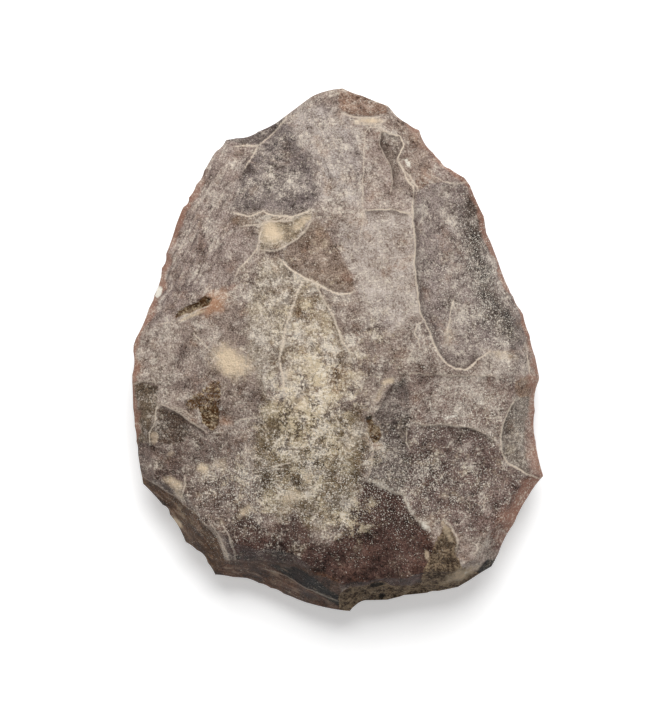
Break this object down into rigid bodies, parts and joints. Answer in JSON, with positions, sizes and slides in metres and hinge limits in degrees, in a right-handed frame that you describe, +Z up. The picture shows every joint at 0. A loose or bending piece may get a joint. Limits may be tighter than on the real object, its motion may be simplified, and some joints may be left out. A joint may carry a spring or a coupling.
{
  "type": "flint scraper",
  "caption": "Egg-shaped knapped flint scraper, domed and scarred on one face, sharp round its edge, with a steep butt.",
  "frame": {"origin": "on the resting surface, below the middle of the outline", "axes": "+Y along the flint towards its tip, +X across it to the right as seen from above the worked face, +Z up through the worked face"},
  "size_m": [0.0786, 0.1, 0.0234],
  "materials": {
    "flint": "patinated flint, waxy and mottled, with chalky rind and soil in its hollows"
  },
  "bodies": {
    "root": {"flint_scraper": "flint"}
  },
  "joints": []
}
